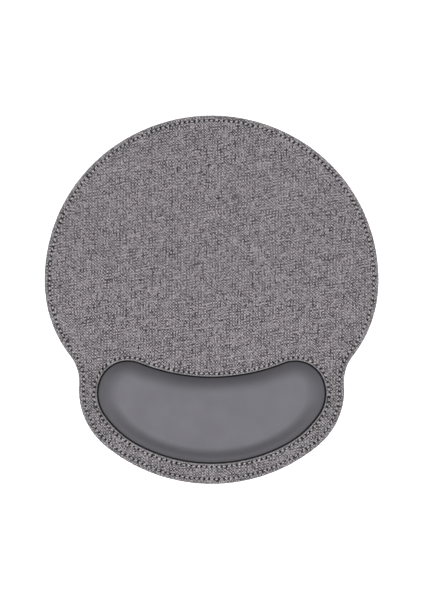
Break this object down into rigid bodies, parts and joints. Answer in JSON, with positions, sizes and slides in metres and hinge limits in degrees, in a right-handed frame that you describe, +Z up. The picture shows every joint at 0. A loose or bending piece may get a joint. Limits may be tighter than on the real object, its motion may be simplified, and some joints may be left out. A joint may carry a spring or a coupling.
{
  "type": "wrist rest",
  "caption": "Round stitched mouse pad that narrows to a lobe, with a padded kidney-shaped wrist cushion set in a sewn opening along its near side.",
  "frame": {"origin": "bottom centre of the bounding box, on the desk surface", "axes": "+X to the user's right, +Y away from the user, +Z up out of the desk"},
  "size_m": [0.2302, 0.254, 0.021],
  "materials": {
    "base_rubber": "matte",
    "adhesive": "satin",
    "filler_foam": "matte",
    "woven_surface": "matte",
    "smooth_cover": "satin",
    "memory_foam": "matte",
    "thread": "satin"
  },
  "bodies": {
    "root": {"base_sheet": "base_rubber", "base_adhesive": "adhesive", "filler_sheet": "filler_foam", "surface_adhesive": "adhesive", "surface_sheet": "woven_surface", "wrist_cover": "smooth_cover", "wrist_core": "memory_foam", "core_adhesive": "adhesive", "edge_needle_thread": "thread", "edge_bobbin_thread": "thread", "rest_needle_thread": "thread", "rest_bobbin_thread": "thread"}
  },
  "joints": []
}
